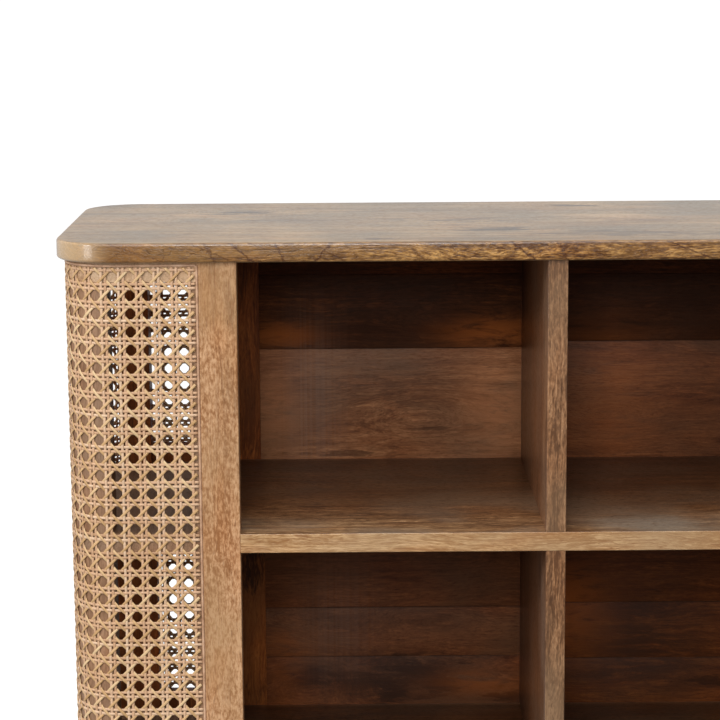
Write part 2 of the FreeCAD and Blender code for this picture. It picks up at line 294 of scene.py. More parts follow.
class Grain:
    """Coordinates with the grain along X and its lines bent round the knots."""

    def __init__(self, nodes, grain, seed, boards, knots, wild, bend):
        self.nodes = nodes
        draw = random.Random(seed)
        place = nodes.place()
        turn = Euler(GRAIN_TURN[grain])
        turned = nodes.add("VectorRotate", {"Vector": place, "Rotation": tuple(turn)},
                           rotation_type="EULER_XYZ").outputs[0]
        if boards:
            number = nodes.add("Attribute", attribute_name="board").outputs["Fac"]
        else:
            number = nodes.add("Value").outputs[0]
            number.default_value = draw.random()
        spread = nodes.add("TexWhiteNoise", {"W": number}, noise_dimensions="1D")
        shift = nodes.vector("MULTIPLY", spread.outputs["Color"], (3.1, 2.3, 1.7))
        shift = nodes.vector("ADD", shift, tuple(draw.uniform(-4, 4) for _ in range(3)))
        self.chance = spread.outputs["Value"]
        self.straight = nodes.vector("ADD", turned, shift)

        self.ragged = self.pattern(RAGGED, 4, 0.7, straight=True)
        self.heart = self.lift = 0.0
        for centre, *facts in knots:
            self.add_knot(turned, turn.to_matrix() @ Vector(centre), *facts)
        self.add_wild_knots(wild)
        slow = self.pattern(SLOW_BENDS, 3, 0.5, straight=True)
        slow = nodes.times_plus(slow, 0.06 * bend, -0.03 * bend)
        ripple = self.pattern(RIPPLES, 3, 0.55, straight=True)
        ripple = nodes.times_plus(ripple, 0.007 * bend, -0.0035 * bend)
        lift = nodes.plus(nodes.plus(slow, ripple), self.lift)
        moved = nodes.add("CombineXYZ", {"Y": lift, "Z": nodes.times(lift, 0.8)}).outputs[0]
        self.wavy = nodes.vector("ADD", self.straight, moved)

    def add_knot(self, turned, centre, length, height, rise, dark):
        """One knot, added to the lift that bends the lines and to the dark hearts."""
        nodes = self.nodes
        away = nodes.vector("SUBTRACT", turned, tuple(centre))
        away = nodes.vector("MULTIPLY", away, (1 / length, 1 / height, 1 / height))
        square = nodes.add("VectorMath", {0: away, 1: away}, operation="DOT_PRODUCT").outputs["Value"]
        swell = nodes.bell(square, 1.0)
        self.lift = nodes.times_plus(swell, rise * height, self.lift)
        core = nodes.bell(square, 1.3)
        edge = nodes.times_plus(self.ragged, 4.0, -2.5)
        stain = nodes.times_plus(nodes.plus(core, edge), 2.5, 0.0, clamp=True)
        stain = nodes.times(stain, nodes.times(core, 2.2, clamp=True))
        self.heart = nodes.most(nodes.times(stain, dark), self.heart)

    def add_wild_knots(self, share):
        """Knots at places that nobody chose: a share of the cells of a stretched Voronoi pattern."""
        nodes = self.nodes
        place = nodes.vector("MULTIPLY", self.straight, KNOTS)
        cells = nodes.add("TexVoronoi", {"Vector": place, "Scale": 1.0})
        lot = nodes.add("SeparateColor", {0: cells.outputs["Color"]}).outputs[0]
        chosen = nodes.math("LESS_THAN", lot, share)
        square = nodes.times(cells.outputs["Distance"], cells.outputs["Distance"])
        swell = nodes.times(nodes.bell(square, 11.0), chosen)
        core = nodes.times(nodes.bell(square, 160.0), chosen)
        self.heart = nodes.most(nodes.times(core, 0.9), self.heart)
        self.lift = nodes.times_plus(swell, 0.026, self.lift)

    def pattern(self, stretch, detail=2, roughness=0.5, straight=False):
        """Noise stretched along the grain, which follows its bends unless it is straight."""
        return self.nodes.noise(self.straight if straight else self.wavy, stretch, detail, roughness)

    def lines(self, stretch, width, detail=2):
        """Thin lines where a pattern passes its middle value."""
        nodes = self.nodes
        gap = nodes.math("ABSOLUTE", nodes.minus(self.pattern(stretch, detail), 0.5))
        return nodes.minus(1.0, nodes.math("DIVIDE", gap, width), clamp=True)


def wood(name, look, grain, seed, boards=False, knots=(), figure=Figure(), finish=OILED,
         edge=None, tints=()):
    """Hardwood: growth bands, dashes, thin dark lines, pores and fibres that all bend round the knots.

    The front edge may have an edge look of its own, as planed solid wood beside a stained face does.
    A tint is a function and its facts: it takes the nodes and the colour, and gives the colour changed.
    """
    nodes = Nodes(name)
    light, middle, dark, grey, line = nodes.palette(look, edge)
    grains = Grain(nodes, grain, seed, boards, knots, figure.wild, figure.bend)
    fibre = grains.pattern(FIBRES, 3, 0.75)
    pores = nodes.ramp(grains.pattern(PORES, 1, 0.4), ((0.54, 0.0), (0.66, 0.62)))
    marks = wood_marks(nodes, grains, figure)

    tone = wood_tone(nodes, grains, figure, fibre, edge)
    colour = nodes.shade(tone, ((0.22, dark), (0.46, middle), (0.72, light)))
    cloud = nodes.ramp(grains.pattern(CLOUDS), ((0.42, 0.0), (0.66, 0.7)))
    colour = nodes.mix(cloud, colour, grey)
    warmth = nodes.ramp(grains.pattern(WARMTH), ((0.5, 0.0), (0.68, 0.6)))
    colour = nodes.mix(warmth, colour, nodes.mix(1.0, colour, (1.0, 0.86, 0.74, 1), "MULTIPLY"))
    colour = nodes.mix(nodes.times(marks, 0.85), colour, line)
    colour = nodes.mix(nodes.times(pores, 0.7), colour, dark)
    for tint, *facts in tints:
        colour = tint(nodes, colour, *facts)

    rough = nodes.times_plus(fibre, 0.2, finish.gloss - 0.1)
    rough = nodes.times_plus(pores, 0.2, rough)
    relief = nodes.times_plus(fibre, 0.6, nodes.times(pores, -0.8))
    relief = nodes.minus(relief, nodes.times(marks, 0.6))
    nodes.fill(nodes.shader, {"Specular IOR Level": finish.specular, "Coat Weight": finish.coat,
                              "Coat Roughness": finish.coat_rough})
    return nodes.cover(colour, rough, nodes.bump(relief, 0.4, 0.0004))


def wood_tone(nodes, grains, figure, fibre, edge):
    """How light the wood is: bands, fibres and dashes, over slow patches and a board's own tone."""
    bands = grains.pattern(BANDS, 5, 0.62)
    dashes = grains.pattern((figure.dash, DASHES_ACROSS, DASHES_ACROSS), 2, 0.65)
    lively = 0.0
    for pattern, share in ((bands, 0.62 * figure.contrast), (fibre, 0.7 * figure.contrast),
                           (dashes, figure.mottle)):
        lively = nodes.times_plus(nodes.minus(pattern, 0.5), share, lively)
    if edge:
        lift = nodes.times_plus(nodes.forward(), figure.edge_lift - 1, 1.0)
        lively = nodes.times(lively, lift)
    tone = nodes.times_plus(grains.pattern(PATCHES, 3, 0.55, straight=True), 0.62, lively)
    tone = nodes.times_plus(grains.pattern(SHINE, straight=True), 0.26, tone)
    tone = nodes.times_plus(grains.chance, figure.vary, tone)
    return nodes.minus(tone, figure.vary / 2)


def wood_marks(nodes, grains, figure):
    """Thin dark lines, hair lines, flecks, the hearts of knots and, where asked, fine splits."""
    where = nodes.ramp(grains.pattern(LINE_PLACES), ((0.42, 0.0), (0.6, figure.veins)))
    lines = nodes.times(grains.lines(LINES, 0.03, 3), where)
    where = nodes.ramp(grains.pattern(HAIR_PLACES), ((0.45, 0.0), (0.62, 0.7 * figure.veins)))
    hairs = nodes.times(grains.lines(HAIRS, 0.05, 2), where)
    flecks = nodes.ramp(grains.pattern(FLECKS, 2, 0.6), ((0.6, 0.0), (0.74, 0.6)))
    marks = nodes.most(lines, hairs, flecks, grains.heart)
    if figure.cracks:
        marks = nodes.most(marks, crack_net(nodes, grains, figure.cracks))
    return marks


def crack_net(nodes, grains, strength):
    """The edges of stretched Voronoi cells, in some places only."""
    place = nodes.vector("MULTIPLY", grains.wavy, CRACKS)
    cells = nodes.add("TexVoronoi", {"Vector": place, "Scale": 1.0}, feature="DISTANCE_TO_EDGE")
    split = nodes.ramp(cells.outputs["Distance"], ((0.0, strength), (0.035, 0.0)))
    where = nodes.ramp(grains.pattern(CRACK_PLACES), ((0.5, 0.0), (0.6, 1.0)))
    return nodes.times(split, where)


# --- tints ---
SPLIT_WOBBLE = 16 * MM  # how far a split strays sideways, all told


def lit_front_shaded_back(nodes, colour, low, high, grey):
    """A tint for the inside faces: painted light near the front edge, paler and greyer, and painted shade,
    darker toward the back.
    """
    place = nodes.place()
    depth = nodes.minus(nodes.part(place, "Y"), low.y)
    depth = nodes.plus(nodes.math("DIVIDE", depth, high.y - low.y), nodes.forward())
    # painted light: the front strip of an inside face is made paler and greyer, as if lit from overhead
    pale = nodes.mix(1.0, colour, (1.9, 2.6, 3.5, 1), "MULTIPLY")
    ragged = nodes.noise(place, (7, 60, 7), 4, 0.65)
    ragged = nodes.times_plus(ragged, 0.16, -0.08)
    front_light = nodes.ramp(nodes.plus(depth, ragged),
                      ((0.02, grey), (0.13, grey * 0.85), (0.2, grey * 0.3), (0.4, 0.0)))
    colour = nodes.mix(front_light, colour, pale)
    # painted shade: the colour grows darker toward the back of the compartment
    back_shade = nodes.mix(1.0, colour, (0.52, 0.46, 0.42, 1), "MULTIPLY")
    return nodes.mix(nodes.ramp(depth, ((0.3, 0.0), (0.97, 1.0), (0.99, 0.0))), colour, back_shade)


def cross_splits(nodes, colour, low, high, splits, colour_of_split):
    """A tint for a front edge: a few dark splits that run down across it."""
    place = nodes.place()
    fall = nodes.math("DIVIDE", nodes.minus(high.z, nodes.part(place, "Z")), high.z - low.z)
    across = nodes.times_plus(nodes.noise(place, 170, 4, 0.65), SPLIT_WOBBLE, nodes.part(place, "X"))
    marks = 0.0
    for along, run, width, dark in splits:
        start = low.x + along * (high.x - low.x) + SPLIT_WOBBLE / 2
        away = nodes.minus(across, nodes.times_plus(fall, run * MM, start))
        near = nodes.math("DIVIDE", nodes.math("ABSOLUTE", away), width * MM)
        mark = nodes.times(nodes.minus(1.0, near, clamp=True), dark)
        marks = nodes.most(mark, marks)
    return nodes.mix(marks, colour, colour_of_split)


def painted_corner_sheen(nodes, colour, high, reach, pale):
    """A tint for a rim: a painted reflection, paler on the forward faces where it turns round the front
    corners.
    """
    along = nodes.part(nodes.place(), "X")
    inset = nodes.minus(high.x, nodes.math("ABSOLUTE", along))
    share = nodes.ramp(nodes.math("DIVIDE", inset, reach), ((0.1, 0.62), (0.6, 0.42), (1.0, 0.0)))
    facing = nodes.part(nodes.add("NewGeometry").outputs["Normal"], "Y")
    facing = nodes.ramp(nodes.times(facing, -1.0), ((0.1, 0.0), (0.4, 1.0)))
    return nodes.mix(nodes.times(share, facing), colour, pale)


# Patch colours for the back boards. The pale one is painted light, on the lit ends of row 1's lowest board
# and across the top of row 2. The orange one is painted light just above row 1's lowest joint, where the
# key lamp reaches past the top's shadow, and elsewhere the boards' orange tone. The dark one is painted
# shade on the middles of the lower boards, and also darkens the joints.
HAZE = srgb(168, 140, 124)
SHADE = srgb(60, 34, 20)
GLOW = srgb(196, 106, 42)
LIT_PATCH = srgb(228, 150, 98)


def patchy(nodes, colour, low, high, patches):
    """A tint with soft patches on a board's front face, each given as in BACK_PATCHES; some are painted
    light and painted shade.
    """
    place = nodes.place()
    place_x, place_z = nodes.part(place, "X"), nodes.part(place, "Z")
    streak = nodes.add("CombineXYZ", {"X": place_x}).outputs[0]
    streak = nodes.noise(streak, 190, 2, 0.6)
    streak = nodes.times_plus(streak, 4.0, -1.2, clamp=True)
    ragged = nodes.noise(place, (16, 1, 70), 4, 0.7, 0.6)
    ragged = nodes.times_plus(ragged, 5.0, -1.6, clamp=True)
    front = nodes.forward()
    for along, up, half_along, half_up, strength, patch in patches:
        x = nodes.minus(place_x, low.x + along * (high.x - low.x))
        z = nodes.minus(place_z, low.z + up * (high.z - low.z))
        x = nodes.math("DIVIDE", x, half_along * MM)
        z = nodes.math("DIVIDE", z, half_up * MM)
        square = nodes.times_plus(z, z, nodes.times(x, x))
        soft = nodes.bell(square, 1.0)
        soft = nodes.times(soft, streak if patch is HAZE else ragged)
        share = nodes.times(nodes.times(soft, strength, clamp=True), front)
        colour = nodes.mix(share, colour, patch)
    return colour


# --- other materials ---
def cane_material():
    """Peeled cane: straw-coloured slants, pinker level strands, lengthwise fibres and a low gloss."""
    nodes = Nodes("cane")
    strand = nodes.add("Attribute", attribute_name="strand").outputs["Vector"]
    number = nodes.part(strand, "Z")
    chance = nodes.add("TexWhiteNoise", {"W": number}, noise_dimensions="1D").outputs["Value"]
    patch = nodes.noise(strand, (26, 900, 61.7), 3, 0.6)
    fibre = nodes.noise(strand, (120, 4200, 61.7), 2, 0.6)
    tone = nodes.times_plus(chance, 0.55, nodes.times(patch, 0.45))
    straw = nodes.ramp(tone, ((0.15, srgb(180, 140, 88)), (0.4, srgb(216, 176, 124)),
                              (0.62, srgb(228, 192, 142)), (0.85, srgb(240, 212, 166))))
    pink = nodes.ramp(tone, ((0.15, srgb(176, 134, 96)), (0.4, srgb(214, 172, 134)),
                             (0.62, srgb(226, 186, 150)), (0.85, srgb(240, 212, 180))))
    slant = nodes.math("GREATER_THAN", nodes.math("ABSOLUTE", number), 0.75 * SLANT_NUMBERS)
    colour = nodes.mix(slant, pink, straw)
    colour = nodes.mix(nodes.times(fibre, 0.45), colour, srgb(146, 98, 60))
    return nodes.cover(colour, nodes.times_plus(fibre, 0.2, 0.34), nodes.bump(fibre, 0.4, 0.0002))


def spline_material():
    """Reed: pinkish straw with lengthwise fibres."""
    nodes = Nodes("reed")
    patch = nodes.noise(nodes.place(), (90, 90, 90), 3, 0.6)
    colour = nodes.ramp(patch, ((0.3, srgb(166, 124, 94)), (0.6, srgb(202, 162, 130)),
                                (0.8, srgb(216, 180, 150))))
    return nodes.cover(colour, nodes.times_plus(patch, 0.2, 0.4), nodes.bump(patch, 0.3, 0.0003))


def steel_material():
    """Zinc-plated steel with a faint spangle."""
    nodes = Nodes("zinc_steel")
    spangle = nodes.noise(nodes.place(), 900, 2, 0.5)
    colour = nodes.ramp(spangle, ((0.35, srgb(150, 148, 140)), (0.7, srgb(196, 194, 186))))
    rough = nodes.times_plus(spangle, 0.25, 0.25)
    nodes.fill(nodes.shader, {"Base Color": colour, "Metallic": 1.0, "Roughness": rough})
    return nodes.block


def coated_material(name, colour, roughness, grain_scale):
    """Powder coat or moulded plastic: a fine even pebble."""
    nodes = Nodes(name)
    pebble = nodes.noise(nodes.place(), grain_scale, 3, 0.6)
    paler = tuple(min(1, value * 1.5 + 0.01) for value in colour[:3]) + (1,)
    rough = nodes.times_plus(pebble, 0.2, roughness)
    return nodes.cover(nodes.mix(pebble, colour, paler), rough, nodes.bump(pebble, 0.25, 0.0003))


# --- meshes ---
def add_object(name, data):
    made = bpy.data.objects.new(name, data)
    bpy.context.scene.collection.objects.link(made)
    return made


def add_piece(name, mesh, material, slot, *replaced):
    """A finished piece that rides on the cabinet and stands for CAD nodes."""
    piece = add_object(name, mesh)
    mesh.materials.clear()
    mesh.materials.append(material)
    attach(piece, "root")
    if replaced:
        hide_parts(*replaced)
    return piece


def box_board(work, low, high, number):
    """One board with softened arrises, added to a bmesh, numbered for its own grain."""
    layer = work.verts.layers.float.get("board") or work.verts.layers.float.new("board")
    centre = (Vector(low) + Vector(high)) / 2
    size = Vector(high) - Vector(low)
    shape = Matrix.Translation(centre) @ Matrix.Diagonal(size.to_4d())
    corners = bmesh.ops.create_cube(work, size=1.0, matrix=shape)["verts"]
    edges = list({edge for vert in corners for edge in vert.link_edges})
    made = bmesh.ops.bevel(work, geom=edges, offset=ARRIS, segments=3, profile=0.5, affect="EDGES",
                           clamp_overlap=True)
    for vert in {vert for face in made["faces"] for vert in face.verts}:
        vert[layer] = number


def boards_mesh(name, boards):
    """A mesh of several boards, each given by its low corner, high corner and number."""
    work = bmesh.new()
    for low, high, number in boards:
        box_board(work, low, high, number)
    mesh = bpy.data.meshes.new(name)
    work.to_mesh(mesh)
    work.free()
    soften(mesh)
    return mesh


def soften(mesh):
    """Smooth shading, with the sharper edges kept."""
    mesh.polygons.foreach_set("use_smooth", [True] * len(mesh.polygons))
    mesh.set_sharp_from_angle(angle=math.radians(40))


def mesh_from_grid(name, points, loop=False):
    """Quads over a (rings, around, 3) array of points: a closed loop of rings, or a stack with caps."""
    rings, around = points.shape[:2]
    index = np.arange(rings * around).reshape(rings, around)
    low, high = (index, np.roll(index, -1, 0)) if loop else (index[:-1], index[1:])
    quads = np.stack([low, np.roll(low, -1, 1), np.roll(high, -1, 1), high], -1).reshape(-1, 4)
    faces = quads.tolist()
    if not loop:
        faces += [index[0][::-1].tolist(), index[-1].tolist()]
    mesh = bpy.data.meshes.new(name)
    mesh.from_pydata(points.reshape(-1, 3).tolist(), [], faces)
    soften(mesh)
    return mesh


def corner_centres(low_x, low_y, high_x, high_y, corner):
    """Where a rounded rectangle's four bends turn, each with the angle that it starts at."""
    left, right, bottom, top = low_x + corner, high_x - corner, low_y + corner, high_y - corner
    return (right, bottom, -90), (right, top, 0), (left, top, 90), (left, bottom, 180)


def rounded_board_mesh(name, low, high, corner_steps=20, edge_steps=5):
    """A board with round plan corners and both faces' edges rounded over."""
    quarter = [math.pi / 2 * step / edge_steps for step in range(edge_steps + 1)]
    profile = [(EDGE_ROUND * (1 - math.sin(a)), low.z + EDGE_ROUND * (1 - math.cos(a))) for a in quarter]
    profile += [(EDGE_ROUND * (1 - math.cos(a)), high.z - EDGE_ROUND * (1 - math.sin(a))) for a in quarter]
    rings = []
    for inset, z in profile:
        ring = []
        radius = TOP_CORNER - inset
        for x, y, start in corner_centres(low.x, low.y, high.x, high.y, TOP_CORNER):
            turns = [math.radians(start + 90 * step / corner_steps) for step in range(corner_steps + 1)]
            ring += [(x + radius * math.cos(a), y + radius * math.sin(a), z) for a in turns]
        rings.append(ring)
    return mesh_from_grid(name, np.array(rings))


# --- cane ---
class Wrap:
    """The bent surface that the webbing follows: front, corner, side, corner, rear."""

    def __init__(self, node):
        low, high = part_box(node)
        inner, outer = sorted((abs(low.x), abs(high.x)))
        self.sign = 1 if high.x > 0 else -1
        self.low, self.high = low, high
        self.radius = CANE_CORNER - WEAVE_INSET
        self.bend_x = outer - CANE_CORNER
        self.front_y = low.y + CANE_CORNER
        self.rear_y = high.y - CANE_CORNER
        self.flat = self.bend_x - inner
        self.bend = self.radius * math.pi / 2
        self.side = self.rear_y - self.front_y
        self.length = 2 * self.flat + 2 * self.bend + self.side
        self.start = FIRST_COLUMN
        self.rise = high.z - TOP_COURSE_DROP - TOP_COURSE * CANE_PITCH_UP

    def climb(self, along):
        """How far the webbing's level strands have crept up by the time they reach the rear."""
        share = np.clip((along - self.flat) / (self.length - 2 * self.flat), 0, 1)
        return 0.5 * CANE_PITCH_UP * share * share * (3 - 2 * share)

    def place(self, along, up, out):
        """Points from arrays of distance round the end, height and distance out from the surface."""
        radius = self.radius + out
        first = self.flat
        second = first + self.bend
        third = second + self.side
        fourth = third + self.bend
        front_turn = np.clip((along - first) / self.radius, 0, math.pi / 2)
        rear_turn = np.clip((along - third) / self.radius, 0, math.pi / 2)
        turn = front_turn + rear_turn
        x = self.bend_x + radius * np.sin(turn)
        x = x - np.clip(first - along, 0, None) - np.clip(along - fourth, 0, None)
        y = np.where(along < (second + third) / 2, self.front_y, self.rear_y) - radius * np.cos(turn)
        middle = (along > second) & (along < third)
        y = np.where(middle, self.front_y + (along - second), y)
        return np.stack([self.sign * x, y, up + 0 * x], -1)


STEPS_A_CELL = 8
LEAST_STEPS = 4  # a strand shorter than this at the webbing's edge is left out

# Each strand has a number of its own, which tells the material its family too.
UPRIGHT_NUMBERS = 10
LEVEL_NUMBERS = 200
SLANT_NUMBERS = 600

# A strand's section across, in half widths, and out, in thicknesses.
SECTION = np.array([(-1.0, -0.12), (-0.62, 0.36), (0.0, 0.5), (0.62, 0.36), (1.0, -0.12), (0.0, -0.42)])


def ribbon(wrap, along, up, out, direction, number, draw):
    """One strand: a crowned ribbon over a path given in the wrap's flat coordinates."""
    half = STRAND_HALF * draw.uniform(0.93, 1.05)
    travel = np.hypot(along - along[0], up - up[0])
    sway = SWAY * np.sin(travel * draw.uniform(25, 45) + draw.uniform(0, 6.28))
    across = np.array((-direction[1], direction[0]))
    width = SECTION[None, :, 0] * half + sway[:, None]
    s = along[:, None] + across[0] * width
    z = up[:, None] + across[1] * width
    h = out[:, None] + SECTION[None, :, 1] * STRAND_THICK
    points = wrap.place(s, z, h)
    facts = np.stack([travel[:, None] + 0 * width, SECTION[None, :, 0] * STRAND_HALF + 0 * width,
                      number + 0 * width], -1)
    return points, facts


def ribbon_faces(ribbons, flip):
    """Corner numbers of the quads and of the end caps of every strand."""
    around = len(SECTION)
    quads, caps = [], []
    start = 0
    for points, _ in ribbons:
        index = start + np.arange(len(points) * around).reshape(-1, around)
        low, high = index[:-1], index[1:]
        quads.append(np.stack([low, high, np.roll(high, -1, 1), np.roll(low, -1, 1)], -1).reshape(-1, 4))
        caps.append(np.stack([index[0], index[-1][::-1]]))
        start += index.size
    quads, caps = np.concatenate(quads), np.concatenate(caps)
    return (quads[:, ::-1], caps[:, ::-1]) if flip else (quads, caps)


def join_ribbons(name, ribbons, flip):
    """One mesh from many strands, with each point's place on its strand kept for the material."""
    points = np.concatenate([points.reshape(-1, 3) for points, _ in ribbons])
    facts = np.concatenate([facts.reshape(-1, 3) for _, facts in ribbons])
    quads, caps = ribbon_faces(ribbons, flip)
    mesh = bpy.data.meshes.new(name)
    mesh.vertices.add(len(points))
    mesh.vertices.foreach_set("co", points.astype(np.float32).ravel())
    mesh.loops.add(quads.size + caps.size)
    mesh.loops.foreach_set("vertex_index", np.concatenate([quads.ravel(), caps.ravel()]).astype(np.int32))
    mesh.polygons.add(len(quads) + len(caps))
    starts = np.concatenate([np.arange(len(quads)) * 4, quads.size + np.arange(len(caps)) * len(SECTION)])
    mesh.polygons.foreach_set("loop_start", starts.astype(np.int32))
    mesh.polygons.foreach_set("use_smooth", np.ones(len(starts), bool))
    layer = mesh.attributes.new("strand", "FLOAT_VECTOR", "POINT")
    layer.data.foreach_set("vector", facts.astype(np.float32).ravel())
    mesh.update()
    mesh.validate()
    return mesh


def kink(turns):
    """The rise and fall of a doubled strand where it passes one pair: over one, under the other."""
    near = (turns + 0.5) % 1 - 0.5
    return np.where(abs(near) < KINK_REACH, np.sin(near / KINK_REACH * math.pi), 0)


def upright_strands(wrap, columns, draw):
    """Pairs of upright strands, one either side of each column."""
    steps = int((wrap.high.z - wrap.low.z) / CANE_PITCH_UP * STEPS_A_CELL)
    up = np.linspace(wrap.low.z, wrap.high.z, steps)
    for column in columns:
        for side in (-1, 1):
            along = column * CANE_PITCH_ROUND + wrap.start + side * PAIR_HALF + 0 * up
            if not STRAND_HALF < along[0] < wrap.length - STRAND_HALF:
                continue
            crossings = (up - wrap.rise - wrap.climb(along)) / CANE_PITCH_UP
            out = side * 0.5 * STRAND_THICK * kink(crossings)
            number = UPRIGHT_NUMBERS + column * 2 + side * 0.3
            yield ribbon(wrap, along, up, out, (0, 1), number, draw)


def level_strands(wrap, courses, draw):
    """Pairs of level strands, which go over and under the upright ones."""
    steps = int(wrap.length / CANE_PITCH_ROUND * STEPS_A_CELL)
    along = np.linspace(0, wrap.length, steps)
    for course in courses:
        for side in (-1, 1):
            up = course * CANE_PITCH_UP + wrap.rise + side * PAIR_HALF + wrap.climb(along)
            inside = (up > wrap.low.z + STRAND_HALF) & (up < wrap.high.z - STRAND_HALF)
            if inside.sum() < LEAST_STEPS:
                continue
            out = -side * 0.5 * STRAND_THICK * kink((along - wrap.start) / CANE_PITCH_ROUND)
            number = LEVEL_NUMBERS + course * 2 + side * 0.3
            yield ribbon(wrap, along[inside], up[inside], out[inside], (1, 0), number, draw)


def slanting_strands(wrap, slope, draw):
    """Single strands on the slant, half a cell off the crossings, so that every hole has eight sides."""
    columns = int(wrap.length / CANE_PITCH_ROUND) + 2
    courses = int((wrap.high.z - wrap.low.z) / CANE_PITCH_UP) + 2
    length = math.hypot(CANE_PITCH_ROUND, CANE_PITCH_UP)
    direction = (CANE_PITCH_ROUND / length, slope * CANE_PITCH_UP / length)
    for number in range(-columns - 2, columns + courses + 3):
        turns = np.arange(-1, columns + 1.01, 0.1)
        rise = slope * turns + number + 0.5
        along = wrap.start + turns * CANE_PITCH_ROUND
        up = wrap.rise + rise * CANE_PITCH_UP + wrap.climb(along)
        inside = (along > 0) & (along < wrap.length) & (up > wrap.low.z) & (up < wrap.high.z)
        if inside.sum() < LEAST_STEPS:
            continue
        turns, along, up = turns[inside], along[inside], up[inside]
        out = -slope * STRAND_THICK * np.clip(SLANT_SWING * np.cos(2 * math.pi * turns), -1, 1)
        yield ribbon(wrap, along, up, out, direction, slope * (SLANT_NUMBERS + number), draw)


def weave(side, material):
    """One end's webbing, in six pieces; the order in which they are made sets the random draws."""
    node = "cane_panel_" + side
    wrap = Wrap(node)
    draw = random.Random("weave " + side)
    columns = range(0, int(wrap.length / CANE_PITCH_ROUND) + 2)
    courses = range(0, TOP_COURSE + 2)
    half = len(columns) // 2
    families = {
        "uprights_front": upright_strands(wrap, columns[:half], draw),
        "uprights_rear": upright_strands(wrap, columns[half:], draw),
        "levels_low": level_strands(wrap, courses[:LOWER_COURSES], draw),
        "levels_high": level_strands(wrap, courses[LOWER_COURSES:], draw),
        "slants_rising": slanting_strands(wrap, 1, draw),
        "slants_falling": slanting_strands(wrap, -1, draw),
    }
    for family, strands in families.items():
        name = "cane_%s_%s" % (family, side)
        mesh = join_ribbons(name, list(strands), wrap.sign > 0)
        add_piece(name, mesh, material, "cane", node)


def rim_path(wrap, low, high):
    """A closed path along the webbing's edge, in the wrap's flat coordinates, with small round corners."""
    bends = []
    for s, z, start in corner_centres(-RIM_INSET, low.z + RIM_INSET, wrap.length + RIM_INSET,
                                      high.z - RIM_INSET, RIM_CORNER):
        angles = [math.radians(start + 15 * step) for step in range(7)]
        bends.append([(s + RIM_CORNER * math.cos(a), z + RIM_CORNER * math.sin(a)) for a in angles])
    path = []
    for bend, following in zip(bends, bends[1:] + bends[:1]):
        path += bend
        count = max(2, int(math.dist(bend[-1], following[0]) / (3 * MM)))
        here, there = Vector(bend[-1]), Vector(following[0])
        path += [tuple(here.lerp(there, step / count)) for step in range(1, count)]
    return np.array(path)


def rim_strip(wrap, path, across, out):
    """A closed strip that follows the rim: across and out give its section."""
    ahead = np.roll(path, -1, 0) - np.roll(path, 1, 0)
    ahead /= np.linalg.norm(ahead, axis=1)[:, None]
    s = path[:, :1] + ahead[:, 1:] * across[None, :]
    z = path[:, 1:] - ahead[:, :1] * across[None, :]
    points = wrap.place(s, z, out[None, :] + 0 * s)
    return points if wrap.sign > 0 else points[:, ::-1]


def spline_loop(side, reed, groove):
    """The reed that wedges the webbing's edge into its groove: a round bead on a dark strip of painted
    shade, which shows as dark lines either side of it.
    """
    node = "cane_spline_" + side
    wrap = Wrap("cane_panel_" + side)
    low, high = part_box(node)
    path = rim_path(wrap, low, high)
    turn = np.linspace(0, 2 * math.pi, 14, endpoint=False)
    bead = rim_strip(wrap, path, REED_HALF * np.cos(turn), -REED_SINK + REED_RISE * np.sin(turn))
    # painted shade: a dark strip deep in the groove stands for the shadow beside the reed
    across = np.array((-GROOVE_HALF, GROOVE_HALF, GROOVE_HALF, -GROOVE_HALF))
    out = np.array((-GROOVE_FLOOR, -GROOVE_FLOOR, -GROOVE_FACE, -GROOVE_FACE))
    shade_strip = rim_strip(wrap, path, across, out)
    for name, strip, material in (("reed_", bead, reed), ("groove_", shade_strip, groove)):
        mesh = mesh_from_grid(name + side, strip, loop=True)
        add_piece(name + side, mesh, material, "spline", node)


# --- boards ---
TOP_SPLITS = (
    # place along the top's front edge, run toward its foot in mm, half width in mm, darkness
    (0.055, 60, 1.8, 0.7), (0.082, -30, 1.1, 0.55), (0.104, 70, 1.3, 0.6), (0.128, -22, 1.6, 0.65),
    (0.136, 46, 2.4, 0.7), (0.152, 10, 3.0, 0.75), (0.166, -46, 1.4, 0.7), (0.176, 24, 2.2, 0.95),
    (0.193, 60, 1.5, 0.7), (0.24, -40, 1.3, 0.65), (0.257, 34, 1.6, 0.7), (0.221, 10, 2.0, 0.9),
    (0.277, -18, 2.3, 0.95), (0.287, 90, 1.8, 0.75), (0.452, 26, 2.6, 1.0), (0.498, 11, 2.0, 0.85),
    (0.604, 50, 2.6, 0.95), (0.63, -30, 1.3, 0.6), (0.72, 22, 1.6, 0.8), (0.81, -14, 1.4, 0.8),
    (0.9, 30, 1.6, 0.7),
)
TOP_KNOTS = (
    # place along the top and toward its back, length and depth in mm, lift, heart
    (0.177, 0.71, 52, 30, 1.2, 1.0), (0.42, 0.5, 60, 26, -1.0, 0.7), (0.44, 0.27, 56, 24, 1.1, 1.0),
    (0.534, 0.87, 46, 20, 1.0, 1.0), (0.58, 0.16, 160, 36, 0.8, 0.7), (0.034, 0.95, 50, 28, 1.0, 0.5),
    (0.327, 0.06, 22, 10, 1.0, 0.8), (0.611, 0.02, 26, 12, 1.0, 0.8),
)


